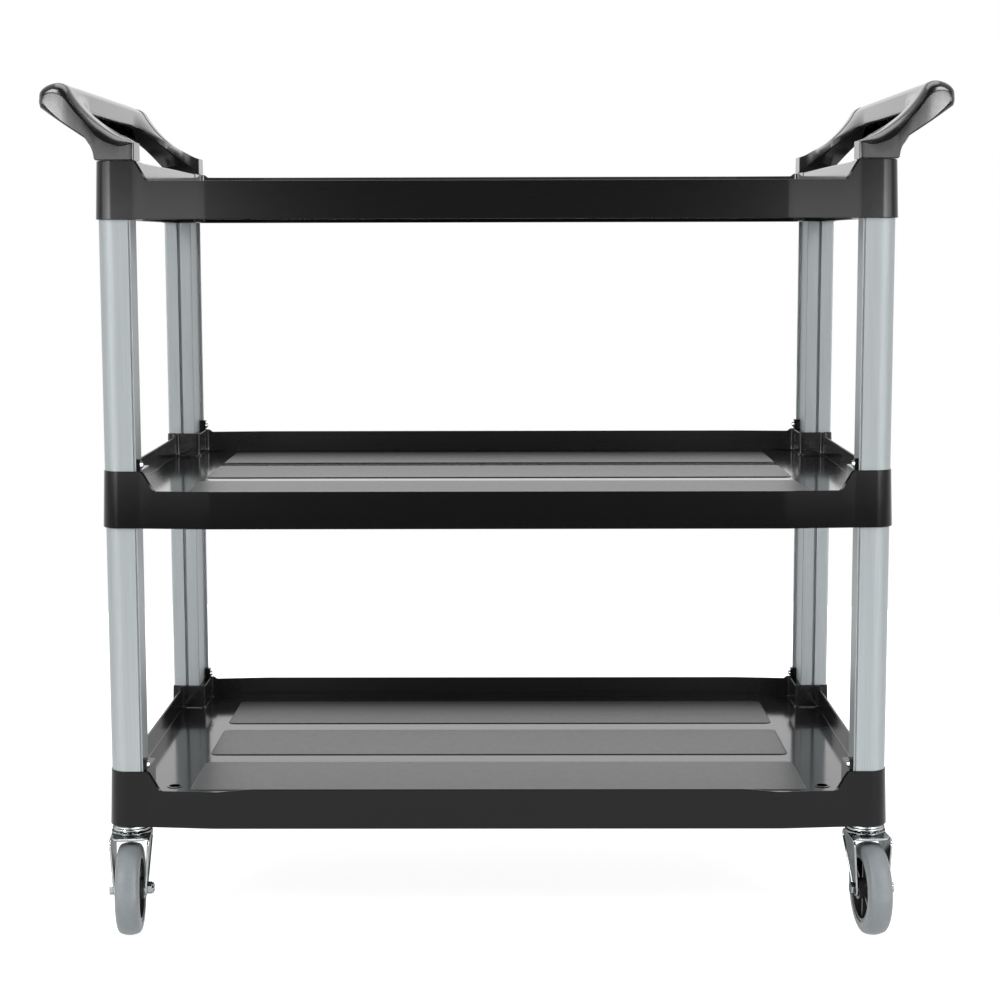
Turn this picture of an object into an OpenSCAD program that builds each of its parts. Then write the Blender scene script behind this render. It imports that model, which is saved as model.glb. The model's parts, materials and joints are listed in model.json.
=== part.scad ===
// Food service trolley: three moulded shelves, four two-tier aluminium posts,
// a moulded push handle at each end and four swivel casters.
// Origin: centre of the footprint on the floor. +X along the length, +Y to the back, +Z up.

/* [Overall] */
// Distance between the outer faces of the left and right posts
span_x = 880; // [760:5:1000]
// Distance between the outer faces of the front and rear posts
span_y = 488; // [440:4:560]
// Height step from one shelf to the next
shelf_pitch = 342; // [280:2:400]
// Height of the bottom shelf's lower edge above the floor
caster_h = 124; // [120:1:130]

/* [Shelves] */
// Height of a corner sleeve
sleeve_h = 64; // [60:1:80]
// How far the rear and end walls stop below the sleeve top
rim_drop = 3.5; // [2:0.5:8]
// Height of the front lip above the shelf's lower edge
lip_h = 42; // [40:1:46]
// Extra height of the middle stretch of the bottom shelf's lip
bottom_lip_rise = 3.5; // [0:0.5:6]
// Height of the tray floor above the shelf's lower edge
floor_h = 34; // [30:1:36]
// Height that the textured panels stand proud of the floor
panel_rise = 1; // [0.5:0.5:2]
// Wall thickness of the moulded shelf
shelf_t = 4; // [3:0.5:5]
// How far the end walls sit inside the outer faces of the posts
end_inset = 8; // [4:1:12]
// How far the front and rear skirts bulge beyond the outer faces of the posts
bulge = 10; // [4:1:14]
// Half length of the straight middle stretch of the front skirt
bulge_half = 322; // [280:2:350]
// Length of each textured panel
panel_l = 708; // [640:4:716]
// Width of each textured panel
panel_w = 122; // [100:1:126]
// Gap between two textured panels
panel_gap = 34; // [24:1:36]
// Diameter of the drain hole in each front corner of a tray
drain_d = 13; // [8:0.5:16]

/* [Posts] */
// Width of the post's box section along X
post_w = 34.4; // [30:0.2:40]
// Depth of the post along Y
post_d = 56; // [44:1:64]
// Radius of the post's outer corner
post_r = 20; // [12:1:26]
// Wall thickness of the extrusion
post_t = 2.2; // [1.8:0.1:3]
// Width of the fixing flange beyond the box section
flange_w = 4; // [3:0.5:6]

/* [Handles] */
// How far the handle reaches beyond the outer faces of the posts
handle_reach = 63; // [50:1:80]
// Height of the handle above the corner sleeves
handle_rise = 86; // [76:1:100]
// Depth of each handle arm along Y
arm_d = 36; // [30:1:44]
// Wall thickness of the moulded handle
handle_t = 4; // [3:0.5:6]

/* [Casters] */
// Wheel diameter over the tyre
wheel_d = 104; // [100:1:106]
// Width of the tyre
tyre_w = 27; // [22:1:28]
// Diameter of the wheel hub
hub_d = 76; // [70:1:80]
// Distance from the swivel axis back to the wheel axle
trail = 28; // [22:1:30]
// Angle that the casters stand away from straight
rest_swivel = 5; // [0:1:10]
// Axle bolt diameter
axle_d = 8; // [6:0.5:10]
// Caster stem diameter
stem_d = 11; // [10:0.5:12]

/* [Hidden] */
$fn = 64;
eps = 0.01;
fit_gap = 0.4;

CORNERS = [
    ["front_left", -1, -1],
    ["front_right", 1, -1],
    ["rear_left", -1, 1],
    ["rear_right", 1, 1]
];
SIDES = [["left", -1], ["right", 1]];

// Heights of the three shelves' lower edges and of the sleeve tops
bottom_z = caster_h;
middle_z = caster_h + shelf_pitch;
top_z = caster_h + 2 * shelf_pitch;
cap_z = top_z + sleeve_h;
rim_h = sleeve_h - rim_drop;

// Corner sleeve around a post, in the corner's own axes (x and y run inwards)
sleeve_out = 3;
sleeve_in = 4;
flange_t = 3;
section_w = post_w + flange_w;
sleeve_x = section_w + sleeve_in;
sleeve_y = post_d + sleeve_in;
web_t = 8;
middle_web_z = sleeve_h / 2 - web_t / 2;
top_web_z = sleeve_h - web_t;

// Groove along the post's inner face
groove_x = 16.4;
groove_w = 3.6;
groove_d = 4.5;

// Screws
screw_d = 4;
screw_head_d = 8.5;
screw_head_h = 2.6;
screw_hole_d = 4.4;
lug_h = 13;
lug_d = 9;
lug_screw_y = flange_t + fit_gap + lug_d / 2;
side_screw_z = 15;
side_screw_y = post_d / 2;

// Handle foot and crossbar, and the spigot under each foot
foot_l = sleeve_x + 1.5;
foot_h = 20;
bar_w = 36;
bar_h = 30;
bar_roof = 8;
bar_hollow_x = handle_t + 3 - handle_reach;
bar_hollow_w = bar_w - 2 * handle_t - 3;
bar_rib_h = 5;
bar_rib_step = 70;
spigot_x = 8;
spigot_l = 20;
spigot_w = 20;
spigot_h = 34;
spigot_y = side_screw_y - spigot_w / 2 - fit_gap;

// Front lip notch: its ends slope up to the sleeves
notch_half = span_x / 2 - 56;
notch_slope = 13;
lip_mid_half = 286;

// Ribs under the shelf floor
rib_t = 2.5;
rib_low = 22;
rib_step = 118;
rib_y = 120;
floor_t = 3;
ledge_x = span_x / 2 - sleeve_x + 0.8;
ledge_half = span_y / 2 - sleeve_y + 1;
ledge_cell_w = sleeve_x - end_inset - 0.8 - 2 * shelf_t;

// Caster heights above the floor
axle_z = wheel_d / 2;
crown_d = 46;
crown_z = wheel_d + 5;
crown_t = 3;
ball_d = 5;
ball_gap = 0.25;
race_r = 16.5;
ball_z = crown_z + crown_t + ball_d / 2 - 1.2;
race_low = ball_z + 0.9;
race_top = caster_h - fit_gap;
leg_t = 2.5;
leg_gap = tyre_w + 6;
king_d = 10;
king_hole_d = king_d + 0.12;
boss_d = 24;
bush_d = 12;
bush_bore_d = axle_d + 0.1;
hub_bore_d = bush_d + 0.12;
hub_w = leg_gap - 2;
stem_top = bottom_z + 46;
socket_x = 19;
socket_y = 28;
caster_x = span_x / 2 - socket_x;
caster_y = span_y / 2 - socket_y;

// Puts its children into the axes of one corner, with x and y running inwards
module at_corner(c) {
    translate([c[1] * span_x / 2, c[2] * span_y / 2, 0])
        mirror([c[1] > 0 ? 1 : 0, 0, 0])
            mirror([0, c[2] > 0 ? 1 : 0, 0])
                children();
}

// Puts its children on one caster's swivel axis; the wheel trails away from the trolley
module at_caster(c) {
    translate([c[1] * caster_x, c[2] * caster_y, 0])
        rotate([0, 0, (c[2] < 0 ? 0 : 180) + rest_swivel])
            children();
}

// ---- Posts ----

// Quarter disc of radius r that rounds the outer corner of a section
module outer_corner(r) {
    translate([post_r, post_r])
        intersection() {
            circle(r, $fn = 96);
            translate([-r, -r])
                square(r + eps);
        }
}

module post_outline(gap) {
    translate([post_r, -gap])
        square([post_w - post_r + gap, post_d + 2 * gap]);
    translate([-gap, post_r])
        square([post_r + gap, post_d - post_r + gap]);
    outer_corner(post_r + gap);
    translate([post_r, -gap])
        square([section_w - post_r + gap, flange_t + 2 * gap]);
}

module post_hollow() {
    inner_r = post_r - post_t;
    difference() {
        union() {
            translate([post_r, post_t])
                square([post_w - post_t - post_r, post_d - 2 * post_t]);
            translate([post_t, post_r])
                square([inner_r, post_d - post_t - post_r]);
            outer_corner(inner_r);
        }
        translate([groove_x - post_t, post_d - groove_d - post_t])
            square([groove_w + 2 * post_t, groove_d + post_t]);
    }
}

module post_section() {
    difference() {
        post_outline(0);
        post_hollow();
        translate([groove_x, post_d - groove_d])
            square([groove_w, groove_d + 1]);
        // shallow line along the root of the flange
        translate([post_w + 1.4, -1])
            square([1.2, 1.8]);
    }
}

// One extruded post from z0 up to z1, with screw holes through its inner side wall
module post(c, z0, z1, lug_z, top_hole_z) {
    color([0.78, 0.80, 0.80])
        at_corner(c)
            difference() {
                translate([0, 0, z0])
                    linear_extrude(z1 - z0)
                        post_section();
                for (hole = [[lug_screw_y, lug_z], [side_screw_y, top_hole_z]])
                    translate([post_w - post_t - 1, hole[0], hole[1]])
                        rotate([0, 90, 0])
                            cylinder(d = screw_hole_d, h = post_t + 2, $fn = 32);
            }
}

module lower_post(c) {
    post(c, bottom_z + web_t + fit_gap, middle_z + middle_web_z - fit_gap,
        bottom_z + sleeve_h + lug_h / 2, middle_z + side_screw_z);
}

module upper_post(c) {
    post(c, middle_z + middle_web_z + web_t + fit_gap, top_z + top_web_z - fit_gap,
        middle_z + sleeve_h + lug_h / 2, top_z + top_web_z - side_screw_z);
}

// ---- Shelves ----

// Outline of the tray between the sleeves, taken in by i on every side
module tray_outline(i) {
    x = span_x / 2 - end_inset - i;
    facet_x = span_x / 2 - section_w - sleeve_in;
    y = span_y / 2 + sleeve_out - i;
    y_bulge = span_y / 2 + bulge - i;
    polygon([
        [x, y - 20], [facet_x, y], [bulge_half, y_bulge],
        [-bulge_half, y_bulge], [-facet_x, y], [-x, y - 20],
        [-x, 20 - y], [-facet_x, -y], [-bulge_half, -y_bulge],
        [bulge_half, -y_bulge], [facet_x, -y], [x, 20 - y]
    ]);
}

// Plan of one corner sleeve in the corner's own axes
module sleeve_outline() {
    r = post_r + sleeve_out;
    translate([post_r, -sleeve_out])
        square([sleeve_x - post_r, sleeve_y + sleeve_out]);
    translate([-sleeve_out, post_r])
        square([r, sleeve_y - post_r]);
    outer_corner(r);
}

module sleeve_block(h) {
    linear_extrude(h)
        sleeve_outline();
}

// Cuts away the front wall above the lip; the ends of the cut slope upwards
module lip_notch(lip) {
    depth = 40;
    translate([0, -span_y / 2 - bulge - 1, 0])
        rotate([90, 0, 0])
            mirror([0, 0, 1])
                linear_extrude(depth)
                    polygon([
                        [-notch_half, lip], [notch_half, lip],
                        [notch_half + notch_slope, sleeve_h + 1],
                        [-notch_half - notch_slope, sleeve_h + 1]
                    ]);
}

module rib_lines() {
    half_l = span_x / 2;
    half_w = span_y / 2 + bulge;
    for (x = [-3 * rib_step:rib_step:3 * rib_step])
        translate([x - rib_t / 2, -half_w])
            square([rib_t, 2 * half_w]);
    for (y = [-rib_y, 0, rib_y])
        translate([-half_l, y - rib_t / 2])
            square([2 * half_l, rib_t]);
}

module deck_panels() {
    for (row = [-1, 0, 1])
        translate([-panel_l / 2, row * (panel_w + panel_gap) - panel_w / 2, floor_h - eps])
            cube([panel_l, panel_w, panel_rise + eps]);
}

// The moulded tray with its four sleeves, lower edge at z = 0.
// post_above and post_below say on which sides the sleeves take a post.
// Ledges that join the sleeves at both ends of the top tray, level with the caps
module end_ledges() {
    for (s = SIDES)
        scale([s[1], 1, 1])
            translate([ledge_x, -ledge_half, floor_h - floor_t])
                cube([span_x / 2 - end_inset - ledge_x, 2 * ledge_half, sleeve_h - floor_h + floor_t]);
}

// Cells that hollow the ledges from below, with cross ribs between them
module ledge_cells() {
    cells = 4;
    step = 2 * (ledge_half - shelf_t) / cells;
    for (s = SIDES)
        scale([s[1], 1, 1])
            for (i = [0:cells - 1])
                translate([ledge_x + shelf_t, i * step - ledge_half + shelf_t + rib_t / 2, rib_low - 1])
                    cube([ledge_cell_w, step - rib_t, sleeve_h - shelf_t - rib_low + 1]);
}

module shelf_body(post_above, post_below, lip_rise, with_ledges) {
    difference() {
        union() {
            difference() {
                linear_extrude(rim_h)
                    tray_outline(0);
                // tray above the floor
                translate([0, 0, floor_h])
                    linear_extrude(sleeve_h)
                        tray_outline(shelf_t);
                // hollow under the floor, with its ribs left standing
                translate([0, 0, -eps])
                    linear_extrude(rib_low + eps)
                        tray_outline(shelf_t);
                translate([0, 0, rib_low - eps])
                    linear_extrude(floor_h - floor_t - rib_low + eps)
                        difference() {
                            tray_outline(shelf_t);
                            rib_lines();
                        }
                lip_notch(lip_h);
            }
            deck_panels();
            if (with_ledges)
                end_ledges();
            if (lip_rise > 0)
                translate([-lip_mid_half, -span_y / 2 - bulge, lip_h - eps])
                    cube([2 * lip_mid_half, shelf_t, lip_rise + eps]);
            for (c = CORNERS)
                at_corner(c) {
                    sleeve_block(sleeve_h);
                    if (post_above)
                        translate([post_w + fit_gap, flange_t + fit_gap, sleeve_h - eps])
                            cube([sleeve_x - post_w - fit_gap, lug_d, lug_h + eps]);
                }
        }
        if (with_ledges)
            ledge_cells();
        for (c = CORNERS)
            at_corner(c)
                sleeve_cuts(post_above, post_below);
        for (s = SIDES)
            translate([s[1] * (span_x / 2 - 66), 46 - span_y / 2, floor_h - floor_t - 1])
                cylinder(d = drain_d, h = floor_t + 2);
    }
}

// Pockets and screw holes of one sleeve, in the corner's own axes
module sleeve_cuts(post_above, post_below) {
    above_z = post_below ? middle_web_z + web_t : web_t;
    below_top = post_above ? middle_web_z : top_web_z;
    if (post_above) {
        translate([0, 0, above_z])
            linear_extrude(sleeve_h)
                post_outline(fit_gap);
        translate([post_w, lug_screw_y, sleeve_h + lug_h / 2])
            rotate([0, 90, 0])
                cylinder(d = screw_hole_d, h = sleeve_x, $fn = 32);
    }
    if (post_below) {
        translate([0, 0, -eps])
            linear_extrude(below_top + eps)
                post_outline(fit_gap);
        // relief that leaves a single wall where the side screw passes
        translate([post_w - eps, side_screw_y, post_above ? side_screw_z : top_web_z - side_screw_z])
            rotate([0, 90, 0])
                cylinder(d = screw_hole_d, h = sleeve_x, $fn = 32);
    }
    if (post_above && !post_below)
        translate([socket_x, socket_y, -1])
            cylinder(d = stem_d + 0.6, h = web_t + 2);
    if (post_below && !post_above)
        translate([spigot_x, spigot_y, top_web_z - 1])
            cube([spigot_l + 2 * fit_gap, spigot_w + 2 * fit_gap, web_t + 2]);
}

module top_shelf() {
    color([0.13, 0.13, 0.13])
        translate([0, 0, top_z])
            shelf_body(false, true, 0, true);
}

module middle_shelf() {
    color([0.13, 0.13, 0.13])
        translate([0, 0, middle_z])
            shelf_body(true, true, 0, false);
}

module bottom_shelf() {
    color([0.13, 0.13, 0.13])
        translate([0, 0, bottom_z])
            shelf_body(true, false, bottom_lip_rise, false);
}

// ---- Handles ----

function bezier(a, b, c, d, t) =
    pow(1 - t, 3) * a + 3 * t * pow(1 - t, 2) * b + 3 * t * t * (1 - t) * c + pow(t, 3) * d;

function curve(a, b, c, d, steps) = [for (i = [1:steps]) bezier(a, b, c, d, i / steps)];

// Side profile of an arm: x inwards from the post's outer face, y up from the sleeve top
arm_top = curve([foot_l, foot_h], [foot_l - 30, foot_h + 8], [-14, handle_rise - 32],
    [bar_w - handle_reach, handle_rise - 8], 12);
arm_crest = curve([bar_w - handle_reach, handle_rise - 8],
    [bar_w - handle_reach - 5, handle_rise + 1], [bar_w - handle_reach - 16, handle_rise + 1.2],
    [9 - handle_reach, handle_rise - 5], 8);
arm_outside = curve([9 - handle_reach, handle_rise - 5], [1 - handle_reach, handle_rise - 10],
    [-handle_reach - 0.8, handle_rise - 19], [4 - handle_reach, handle_rise - bar_h + 1], 8);
arm_heel = curve([-9, 24], [-4, 20], [-1, 10], [0, fit_gap], 6);
arm_profile = concat([[foot_l, fit_gap], [foot_l, foot_h]], arm_top, arm_crest, arm_outside, arm_heel);

// Section of the crossbar in the same axes
bar_profile = concat([[bar_w - handle_reach + 1, handle_rise - bar_h],
    [bar_w - handle_reach, handle_rise - 8]], arm_crest, arm_outside);

// Turns a profile drawn in (x, up) into a solid running along y
module along_y(points, length) {
    translate([0, length, 0])
        rotate([90, 0, 0])
            linear_extrude(length)
                polygon(points);
}

module handle_arm() {
    translate([0, 0, cap_z])
        along_y(arm_profile, arm_d);
    // spigot that drops through the sleeve into the post
    translate([spigot_x + fit_gap, spigot_y + fit_gap, cap_z - spigot_h])
        cube([spigot_l, spigot_w, spigot_h + 2]);
}

// Underside hollow of the crossbar, with shallow cross ribs along its roof
module bar_hollow() {
    low_z = cap_z + handle_rise - bar_h - 5;
    roof_z = cap_z + handle_rise - bar_roof;
    difference() {
        translate([bar_hollow_x, arm_d, low_z])
            cube([bar_hollow_w, span_y - 2 * arm_d, roof_z - low_z]);
        for (i = [-2:2])
            translate([-handle_reach, span_y / 2 + i * bar_rib_step - rib_t / 2, roof_z - bar_rib_h])
                cube([bar_w, rib_t, bar_rib_h + 1]);
    }
}

module handle(s) {
    color([0.14, 0.14, 0.14])
        translate([s[1] * span_x / 2, -span_y / 2, 0])
            mirror([s[1] > 0 ? 1 : 0, 0, 0])
                difference() {
                    union() {
                        handle_arm();
                        translate([0, span_y, 0])
                            mirror([0, 1, 0])
                                handle_arm();
                        translate([0, arm_d - eps, cap_z])
                            along_y(bar_profile, span_y - 2 * arm_d + 2 * eps);
                    }
                    bar_hollow();
                    for (y = [side_screw_y, span_y - side_screw_y])
                        translate([-1, y, top_z + top_web_z - side_screw_z])
                            rotate([0, 90, 0])
                                cylinder(d = screw_hole_d, h = span_x / 8, $fn = 32);
                }
}

// ---- Screws ----

// Pan-head screw whose head sits at the origin and whose shank runs along -z
module pan_screw(length) {
    difference() {
        union() {
            cylinder(d1 = screw_head_d, d2 = screw_head_d - 3, h = screw_head_h, $fn = 48);
            translate([0, 0, -length])
                cylinder(d = screw_d, h = length + eps, $fn = 32);
        }
        for (a = [0, 90])
            rotate([0, 0, a])
                translate([-2.2, -0.5, screw_head_h - 1.2])
                    cube([4.4, 1, 2]);
    }
}

// One screw at each corner, driven outwards through the sleeve into the post
module corner_screws(y, z, length) {
    color([0.6, 0.61, 0.62])
        for (c = CORNERS)
            at_corner(c)
                translate([sleeve_x, y, z])
                    rotate([0, 90, 0])
                        pan_screw(length);
}

module handle_screws() { corner_screws(side_screw_y, top_z + top_web_z - side_screw_z, 20); }

module middle_shelf_screws() { corner_screws(side_screw_y, middle_z + side_screw_z, 12); }

module upper_post_screws() { corner_screws(lug_screw_y, middle_z + sleeve_h + lug_h / 2, 12); }

module lower_post_screws() { corner_screws(lug_screw_y, bottom_z + sleeve_h + lug_h / 2, 12); }

// ---- Casters ----

// Moulded socket inside the foot of a lower post; it grips the caster stem
module caster_socket(c) {
    socket_h = 44;
    color([0.2, 0.2, 0.21])
        at_corner(c)
            difference() {
                translate([socket_x, socket_y, bottom_z + web_t + fit_gap])
                    cylinder(d = 25, h = socket_h, $fn = 64);
                translate([socket_x, socket_y, bottom_z])
                    cylinder(d = stem_d + 0.12, h = stem_top + 2 - bottom_z, $fn = 64);
            }
}

// Turned stem: grip end in the socket, flange on the race, peened end under the crown
module stem(c) {
    color([0.72, 0.73, 0.74])
        at_caster(c) {
            translate([0, 0, race_top - eps])
                cylinder(d = stem_d, h = stem_top - race_top - 6);
            translate([0, 0, stem_top - 6 - 2 * eps])
                cylinder(d1 = stem_d, d2 = stem_d - 4, h = 4);
            translate([0, 0, crown_z - 3.5])
                cylinder(d = king_d, h = race_top - crown_z + 3.5);
            translate([0, 0, crown_z - 4])
                cylinder(d1 = 12, d2 = 15, h = 4 - 0.4);
        }
}

// Pressed upper race with a rounded rim
module top_race(c) {
    color([0.72, 0.73, 0.74])
        at_caster(c)
            rotate_extrude($fn = 96)
                difference() {
                    union() {
                        translate([king_d / 2 + 0.1, race_low])
                            square([crown_d / 2 - king_d / 2 - 3.1, race_top - race_low]);
                        translate([crown_d / 2 - 3.5, race_top - 2.5])
                            circle(2.5, $fn = 32);
                    }
                    translate([race_r, ball_z])
                        circle(ball_d / 2 + ball_gap, $fn = 48);
                }
}

module ball_ring(c) {
    balls = 18;
    color([0.8, 0.8, 0.82])
        at_caster(c)
            for (i = [0:balls - 1])
                rotate([0, 0, i * 360 / balls])
                    translate([race_r, 0, ball_z])
                        sphere(d = ball_d, $fn = 32);
}

// One fork leg in the (back, up) plane: upright front edge, back edge swept to the axle
module leg_plate() {
    hull() {
        translate([-trail, axle_z])
            circle(9, $fn = 48);
        translate([-trail + 14, crown_z - 30])
            circle(13, $fn = 48);
        translate([-trail - 9, crown_z - 6])
            square([trail + 9 + 17, 6 + crown_t / 2]);
    }
}

module fork(c) {
    leg_x = leg_gap / 2 + leg_t / 2;
    color([0.7, 0.71, 0.72])
        at_caster(c)
            difference() {
                union() {
                    translate([0, 0, crown_z])
                        cylinder(d = crown_d, h = crown_t, $fn = 96);
                    for (x = [-leg_x, leg_x])
                        translate([x + leg_t / 2, 0, 0])
                            rotate([90, 0, -90])
                                mirror([1, 0, 0])
                                    linear_extrude(leg_t)
                                        leg_plate();
                    // front apron joins the crown to both legs
                    translate([-leg_x - leg_t / 2, -trail - 9, crown_z])
                        cube([2 * leg_x + leg_t, trail, crown_t]);
                }
                translate([0, 0, crown_z - 1])
                    cylinder(d = king_hole_d, h = crown_t + 2);
                translate([0, 0, ball_z])
                    rotate_extrude($fn = 96)
                        translate([race_r, 0])
                            circle(ball_d / 2 + 0.02, $fn = 48);
                translate([-leg_gap, -trail, axle_z])
                    rotate([0, 90, 0])
                        cylinder(d = axle_d + 0.2, h = 2 * leg_gap);
            }
}

// Axle bolt: hexagon head outside one leg, shank through bush and both legs
module axle_bolt(c) {
    out_x = leg_gap / 2 + leg_t;
    color([0.72, 0.73, 0.74])
        at_caster(c)
            translate([0, -trail, axle_z])
                rotate([0, 90, 0]) {
                    translate([0, 0, -out_x - 4.6])
                        cylinder(d = 14.4, h = 4.6 - 0.05, $fn = 6);
                    translate([0, 0, -out_x - 0.1])
                        cylinder(d = axle_d, h = 2 * out_x + 8);
                }
}

module axle_nut(c) {
    out_x = leg_gap / 2 + leg_t;
    color([0.72, 0.73, 0.74])
        at_caster(c)
            translate([0, -trail, axle_z])
                rotate([0, 90, 0])
                    difference() {
                        union() {
                            translate([0, 0, out_x + 0.05])
                                cylinder(d = 14.4, h = 5, $fn = 6);
                            translate([0, 0, out_x + 5])
                                cylinder(d = 12, h = 2, $fn = 48);
                        }
                        translate([0, 0, out_x - 1])
                            cylinder(d = axle_d + 0.1, h = 12);
                    }
}

module axle_bush(c) {
    color([0.75, 0.74, 0.7])
        at_caster(c)
            translate([-leg_gap / 2 + 0.05, -trail, axle_z])
                rotate([0, 90, 0])
                    difference() {
                        cylinder(d = bush_d, h = leg_gap - 0.1, $fn = 64);
                        translate([0, 0, -1])
                            cylinder(d = bush_bore_d, h = leg_gap + 2, $fn = 64);
                    }
}

// Moulded hub: rim, thin web, boss and ribs on both faces
module wheel_hub(c) {
    rim_w = tyre_w - 2;
    rim_t = 4;
    ribs = 6;
    color([0.12, 0.12, 0.12])
        at_caster(c)
            translate([0, -trail, axle_z])
                rotate([0, 90, 0])
                    difference() {
                        union() {
                            difference() {
                                cylinder(d = hub_d, h = rim_w, center = true, $fn = 128);
                                for (side = [-1, 1])
                                    translate([0, 0, side * (rim_w / 2 + 2)])
                                        cylinder(d = hub_d - 2 * rim_t, h = rim_w, center = true, $fn = 128);
                            }
                            cylinder(d = boss_d, h = hub_w, center = true);
                            for (i = [0:ribs - 1])
                                rotate([0, 0, i * 360 / ribs])
                                    translate([boss_d / 2 - 2, -1.5, -rim_w / 2 + 3])
                                        cube([hub_d / 2 - boss_d / 2, 3, rim_w - 6]);
                        }
                        cylinder(d = hub_bore_d, h = 2 * hub_w, center = true);
                    }
}

// Tyre with a crowned tread and rounded shoulders
module tyre(c) {
    r_out = wheel_d / 2;
    r_in = hub_d / 2 + 0.02;
    shoulder = 9;
    half_w = tyre_w / 2;
    crown_r = 26;
    color([0.62, 0.65, 0.67])
        at_caster(c)
            translate([0, -trail, axle_z])
                rotate([0, 90, 0])
                    rotate_extrude($fn = 160)
                        intersection() {
                            translate([r_out - crown_r, 0])
                                circle(crown_r, $fn = 128);
                            union() {
                                translate([r_in, -half_w])
                                    square([r_out - shoulder - r_in, tyre_w]);
                                for (side = [-1, 1])
                                    translate([r_out - shoulder, side * (half_w - shoulder)])
                                        circle(shoulder, $fn = 64);
                                translate([r_out - shoulder - 1, shoulder - half_w])
                                    square([shoulder + 1, tyre_w - 2 * shoulder]);
                            }
                        }
}

top_shelf();
middle_shelf();
bottom_shelf();
handle_screws();
middle_shelf_screws();
upper_post_screws();
lower_post_screws();
for (s = SIDES)
    handle(s);
for (c = CORNERS) {
    upper_post(c);
    lower_post(c);
    caster_socket(c);
    stem(c);
    top_race(c);
    ball_ring(c);
    fork(c);
    axle_bolt(c);
    axle_nut(c);
    axle_bush(c);
    wheel_hub(c);
    tyre(c);
}
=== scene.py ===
import json
import math

import bmesh
import bpy
from mathutils import Matrix, Vector


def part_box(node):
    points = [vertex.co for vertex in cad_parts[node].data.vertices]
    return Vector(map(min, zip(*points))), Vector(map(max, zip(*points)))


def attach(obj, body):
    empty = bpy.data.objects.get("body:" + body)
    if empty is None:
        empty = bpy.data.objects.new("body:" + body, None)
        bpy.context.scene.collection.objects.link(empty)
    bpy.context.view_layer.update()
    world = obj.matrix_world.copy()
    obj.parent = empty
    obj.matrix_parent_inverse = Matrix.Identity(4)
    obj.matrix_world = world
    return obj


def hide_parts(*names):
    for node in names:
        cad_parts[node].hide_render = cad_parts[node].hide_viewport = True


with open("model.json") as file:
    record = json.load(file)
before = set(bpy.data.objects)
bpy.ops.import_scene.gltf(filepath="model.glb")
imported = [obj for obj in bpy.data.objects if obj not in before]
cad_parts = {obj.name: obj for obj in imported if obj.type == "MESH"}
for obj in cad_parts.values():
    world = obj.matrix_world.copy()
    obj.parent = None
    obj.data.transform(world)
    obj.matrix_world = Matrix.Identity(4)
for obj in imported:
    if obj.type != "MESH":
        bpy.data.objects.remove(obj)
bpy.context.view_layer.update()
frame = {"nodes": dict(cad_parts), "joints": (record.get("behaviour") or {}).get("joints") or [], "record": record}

# All lengths below are in millimetres, and MM turns them into the frame's metres.
MM = 0.001
CORNERS = {"front_left": (-1, -1), "front_right": (1, -1), "rear_left": (-1, 1), "rear_right": (1, 1)}
SIDES = {"left": -1, "right": 1}


# ---- Sizes read from the frame ----

def low(node, axis):
    """The lowest coordinate of a CAD node along an axis."""
    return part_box(node)[0][axis] / MM


def high(node, axis):
    """The highest coordinate of a CAD node along an axis."""
    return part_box(node)[1][axis] / MM


HALF_X = -low("lower_post_front_left", 0)
HALF_Y = -low("lower_post_front_left", 1)
SHELF_Z = {name: low(name + "_shelf", 2) for name in ("bottom", "middle", "top")}
SLEEVE_H = high("top_shelf", 2) - low("top_shelf", 2)
SLEEVE_OUT = high("top_shelf", 0) - HALF_X
SKIRT_Y = high("top_shelf", 1)
CAP_Z = high("top_shelf", 2)
SECTION_W = high("lower_post_front_left", 0) - low("lower_post_front_left", 0)
POST_D = high("lower_post_front_left", 1) - low("lower_post_front_left", 1)
POST_R = 20
FLANGE_W = 4
FLANGE_T = 3


# ---- Mesh helpers ----

# A face at least this large, in square metres, is shaded flat.
FLAT_AREA = 0.0012


def new_piece(name, bm, body, replaced, materials, sharp_deg=36):
    """Turns a bmesh in millimetres into a piece that rides on a body and stands for CAD nodes."""
    mesh = bpy.data.meshes.new(name)
    outward(bm)
    bmesh.ops.scale(bm, vec=(MM, MM, MM), verts=bm.verts)
    bm.to_mesh(mesh)
    bm.free()
    piece = bpy.data.objects.new(name, mesh)
    bpy.context.scene.collection.objects.link(piece)
    for material in materials:
        mesh.materials.append(material)
    shade(mesh, sharp_deg)
    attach(piece, body)
    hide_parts(*replaced)
    return piece


def shade(mesh, sharp_deg):
    """Smooth shading that keeps large flat faces flat and lets the small faces beside them blend in."""
    faces = mesh.polygons
    faces.foreach_set("use_smooth", [True] * len(faces))
    around = [[] for _ in mesh.vertices]
    facts = [(Vector(face.normal), face.area) for face in faces]
    for face in faces:
        for vertex in face.vertices:
            around[vertex].append(face.index)
    limit = math.cos(math.radians(sharp_deg))
    normals = [None] * len(mesh.loops)
    for face in faces:
        own, area = facts[face.index]
        for loop, vertex in zip(face.loop_indices, face.vertices):
            total = Vector((0, 0, 0))
            if area < FLAT_AREA:
                for other in around[vertex]:
                    normal, size = facts[other]
                    if normal.dot(own) > limit:
                        total += normal * size
            normals[loop] = total.normalized() if total.length > 0 else own
    mesh.normals_split_custom_set(normals)


def loft(bm, rings, closed_ends=True, material=0):
    """Joins rings of equal point counts with quads; the rings run round closed loops."""
    loops = [[bm.verts.new(p) for p in ring] for ring in rings]
    count = len(loops[0])
    for a, b in zip(loops, loops[1:]):
        for i in range(count):
            j = (i + 1) % count
            corners = [a[i], a[j], b[j], b[i]]
            face = bm.faces.new(corners)
            face.material_index = material
    if closed_ends:
        for loop in (loops[0], loops[-1]):
            bm.faces.new(loop).material_index = material
    return loops


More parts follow.
